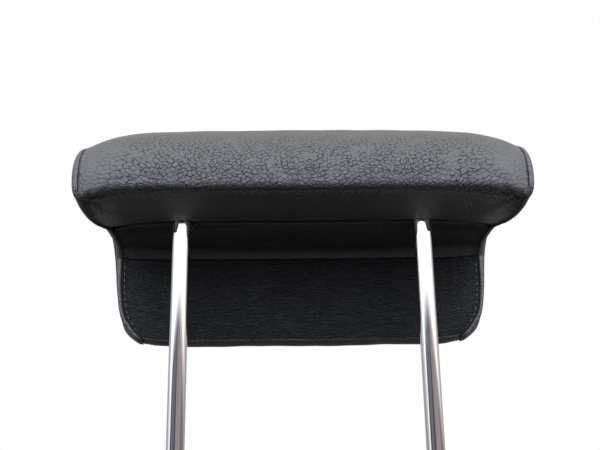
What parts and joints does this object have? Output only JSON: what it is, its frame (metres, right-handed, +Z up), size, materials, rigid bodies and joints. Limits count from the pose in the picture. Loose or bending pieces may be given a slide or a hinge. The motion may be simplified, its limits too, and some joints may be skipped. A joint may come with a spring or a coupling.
{
  "type": "head restraint",
  "caption": "Leather-covered head restraint on chromed round posts, with a thin lip that hangs down in front of the seat back's top edge.",
  "frame": {"origin": "midway between the axes of the two posts, in the plane of the post tips", "axes": "+Z up along the posts, towards the cushion; -Y towards the side that the head rests on; +X to the left of a person in the seat"},
  "size_m": [0.242, 0.1322, 0.247],
  "materials": {
    "leather_black": "pebbled grain, satin, black topstitching",
    "chrome": "polished chrome plate on steel",
    "foam": null,
    "carrier_plastic": "moulded, fine texture",
    "trim_plastic": "extruded and moulded, satin",
    "zinc_steel": "zinc plated"
  },
  "bodies": {
    "root": {"cover_main_panel": "leather_black", "cover_lip_back": "leather_black", "cover_underside_rear": "leather_black", "cover_underside_front": "leather_black", "cover_side_left": "leather_black", "cover_side_right": "leather_black", "foam_pad": "foam", "post_frame": "chrome", "carrier_shell_rear": "carrier_plastic", "carrier_shell_front": "carrier_plastic", "post_collar_left": "trim_plastic", "post_collar_right": "trim_plastic", "closure_rear_left": "trim_plastic", "closure_rear_centre": "trim_plastic", "closure_rear_right": "trim_plastic", "closure_front_left": "trim_plastic", "closure_front_centre": "trim_plastic", "closure_front_right": "trim_plastic", "carrier_screw_1": "zinc_steel", "carrier_screw_2": "zinc_steel", "carrier_screw_3": "zinc_steel", "carrier_screw_4": "zinc_steel", "tie_down_wire": "zinc_steel", "hog_ring_1": "zinc_steel", "hog_ring_2": "zinc_steel", "hog_ring_3": "zinc_steel", "hog_ring_4": "zinc_steel", "hog_ring_5": "zinc_steel"}
  },
  "joints": []
}
